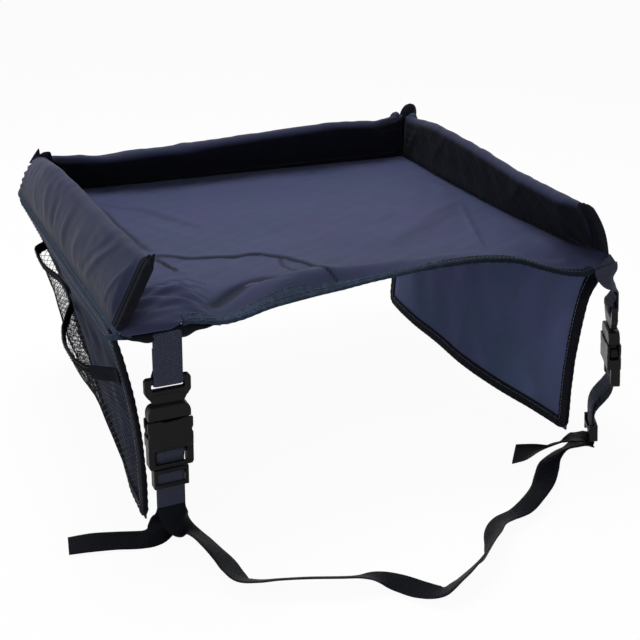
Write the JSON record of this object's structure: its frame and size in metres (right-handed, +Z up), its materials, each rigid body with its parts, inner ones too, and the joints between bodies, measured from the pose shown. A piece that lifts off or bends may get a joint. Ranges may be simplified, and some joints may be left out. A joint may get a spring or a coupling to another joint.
{
  "type": "car seat tray table",
  "caption": "Soft travel tray for a child's seat: stiff floor, padded folding walls, hanging side flaps with mesh pockets, and a waist strap with side-release buckles.",
  "frame": {"origin": "middle of the flat underside, level with the lap or the seat's arms that carry it", "axes": "+Z up out of the tray, +Y towards the back wall, away from the child, +X along the back wall"},
  "size_m": [0.4621, 0.4713, 0.229],
  "materials": {
    "navy_nylon": "woven, faint sheen",
    "black_binding": "ribbed tape",
    "black_mesh": "open net",
    "black_elastic": "matt woven elastic",
    "navy_webbing": "woven polyester",
    "black_plastic": "moulded, satin",
    "board_plastic": "plain sheet",
    "foam": "open-cell foam"
  },
  "bodies": {
    "tray": {"base_board": "board_plastic", "bottom_sheet": "navy_nylon", "top_sheet": "navy_nylon", "left_side_hem": "navy_nylon", "right_side_hem": "navy_nylon", "back_hem": "navy_nylon", "front_binding": "black_binding", "left_anchor_strap": "navy_webbing", "right_anchor_strap": "navy_webbing", "left_socket": "black_plastic", "right_socket": "black_plastic", "left_loop": "navy_webbing", "right_loop": "navy_webbing", "belt": "navy_webbing", "left_tail": "navy_webbing", "right_tail": "navy_webbing"},
    "left_wall": {"left_wall_cover": "navy_nylon", "left_wall_foam": "foam", "left_wall_front_strip": "black_binding", "left_wall_back_strip": "black_binding"},
    "right_wall": {"right_wall_cover": "navy_nylon", "right_wall_foam": "foam", "right_wall_front_strip": "black_binding", "right_wall_back_strip": "black_binding"},
    "back_wall": {"back_wall_cover": "navy_nylon", "back_wall_foam": "foam", "back_wall_left_strip": "black_binding", "back_wall_right_strip": "black_binding"},
    "left_flap": {"left_flap_panel": "navy_nylon", "left_flap_binding": "black_binding", "left_pocket_mesh": "black_mesh", "left_pocket_elastic": "black_elastic", "left_elastic_tab": "black_elastic"},
    "right_flap": {"right_flap_panel": "navy_nylon", "right_flap_binding": "black_binding", "right_pocket_mesh": "black_mesh", "right_pocket_elastic": "black_elastic", "right_elastic_tab": "black_elastic"},
    "left_buckle_plug": {"left_plug": "black_plastic"},
    "left_arm_a": {"left_latch_a": "black_plastic"},
    "left_arm_b": {"left_latch_b": "black_plastic"},
    "left_strap_slider": {"left_slider": "black_plastic"},
    "right_buckle_plug": {"right_plug": "black_plastic"},
    "right_arm_a": {"right_latch_a": "black_plastic"},
    "right_arm_b": {"right_latch_b": "black_plastic"},
    "right_strap_slider": {"right_slider": "black_plastic"}
  },
  "joints": [
    {"name": "left_wall_fold", "type": "hinge", "parent": "tray", "child": "left_wall", "pos_m": [-0.2, 0, 0.0058], "axis": [0, -1, 0], "range_deg": [0, 95]},
    {"name": "right_wall_fold", "type": "hinge", "parent": "tray", "child": "right_wall", "pos_m": [0.2, 0, 0.0058], "axis": [0, 1, 0], "range_deg": [0, 95]},
    {"name": "back_wall_fold", "type": "hinge", "parent": "tray", "child": "back_wall", "pos_m": [0, 0.165, 0.0058], "axis": [-1, 0, 0], "range_deg": [0, 95]},
    {"name": "left_flap_swing", "type": "hinge", "parent": "tray", "child": "left_flap", "pos_m": [-0.1984, 0, -0.0025], "axis": [0, -1, 0], "range_deg": [-75, 60]},
    {"name": "right_flap_swing", "type": "hinge", "parent": "tray", "child": "right_flap", "pos_m": [0.1984, 0, -0.0025], "axis": [0, 1, 0], "range_deg": [-75, 45]},
    {"name": "left_buckle_release", "type": "slide", "parent": "tray", "child": "left_buckle_plug", "axis": [0, 0, 1], "range_m": [0, 0.018], "deforming": ["left_anchor_strap"]},
    {"name": "left_pinch_a", "type": "hinge", "parent": "left_buckle_plug", "child": "left_arm_a", "pos_m": [-0.175, -0.16, -0.0673], "axis": [0, -1, 0], "range_deg": [0, 8], "stiffness_Nm_per_rad": 0.005},
    {"name": "left_pinch_b", "type": "hinge", "parent": "left_buckle_plug", "child": "left_arm_b", "pos_m": [-0.157, -0.16, -0.0673], "axis": [0, 1, 0], "range_deg": [0, 8], "stiffness_Nm_per_rad": 0.005},
    {"name": "right_buckle_release", "type": "slide", "parent": "tray", "child": "right_buckle_plug", "axis": [-0.1066, 0.0591, 0.9925], "range_m": [0, 0.018], "deforming": ["right_anchor_strap"]},
    {"name": "right_pinch_a", "type": "hinge", "parent": "right_buckle_plug", "child": "right_arm_a", "pos_m": [0.20167, -0.18139, -0.0653], "axis": [0.8681, -0.4812, 0.1219], "range_deg": [0, 8], "stiffness_Nm_per_rad": 0.005},
    {"name": "right_pinch_b", "type": "hinge", "parent": "right_buckle_plug", "child": "right_arm_b", "pos_m": [0.21039, -0.16565, -0.0653], "axis": [-0.8681, 0.4812, -0.1219], "range_deg": [0, 8], "stiffness_Nm_per_rad": 0.005},
    {"name": "left_slider_travel", "type": "slide", "parent": "tray", "child": "left_strap_slider", "axis": [0, 0, -1], "range_m": [0, 0.015]},
    {"name": "right_slider_travel", "type": "slide", "parent": "tray", "child": "right_strap_slider", "axis": [-0.1066, 0.0591, 0.9925], "range_m": [0, 0.008]}
  ],
  "couplings": [
    {"joint": "left_pinch_b", "follows": "left_pinch_a", "ratio": 1},
    {"joint": "right_pinch_b", "follows": "right_pinch_a", "ratio": 1}
  ]
}
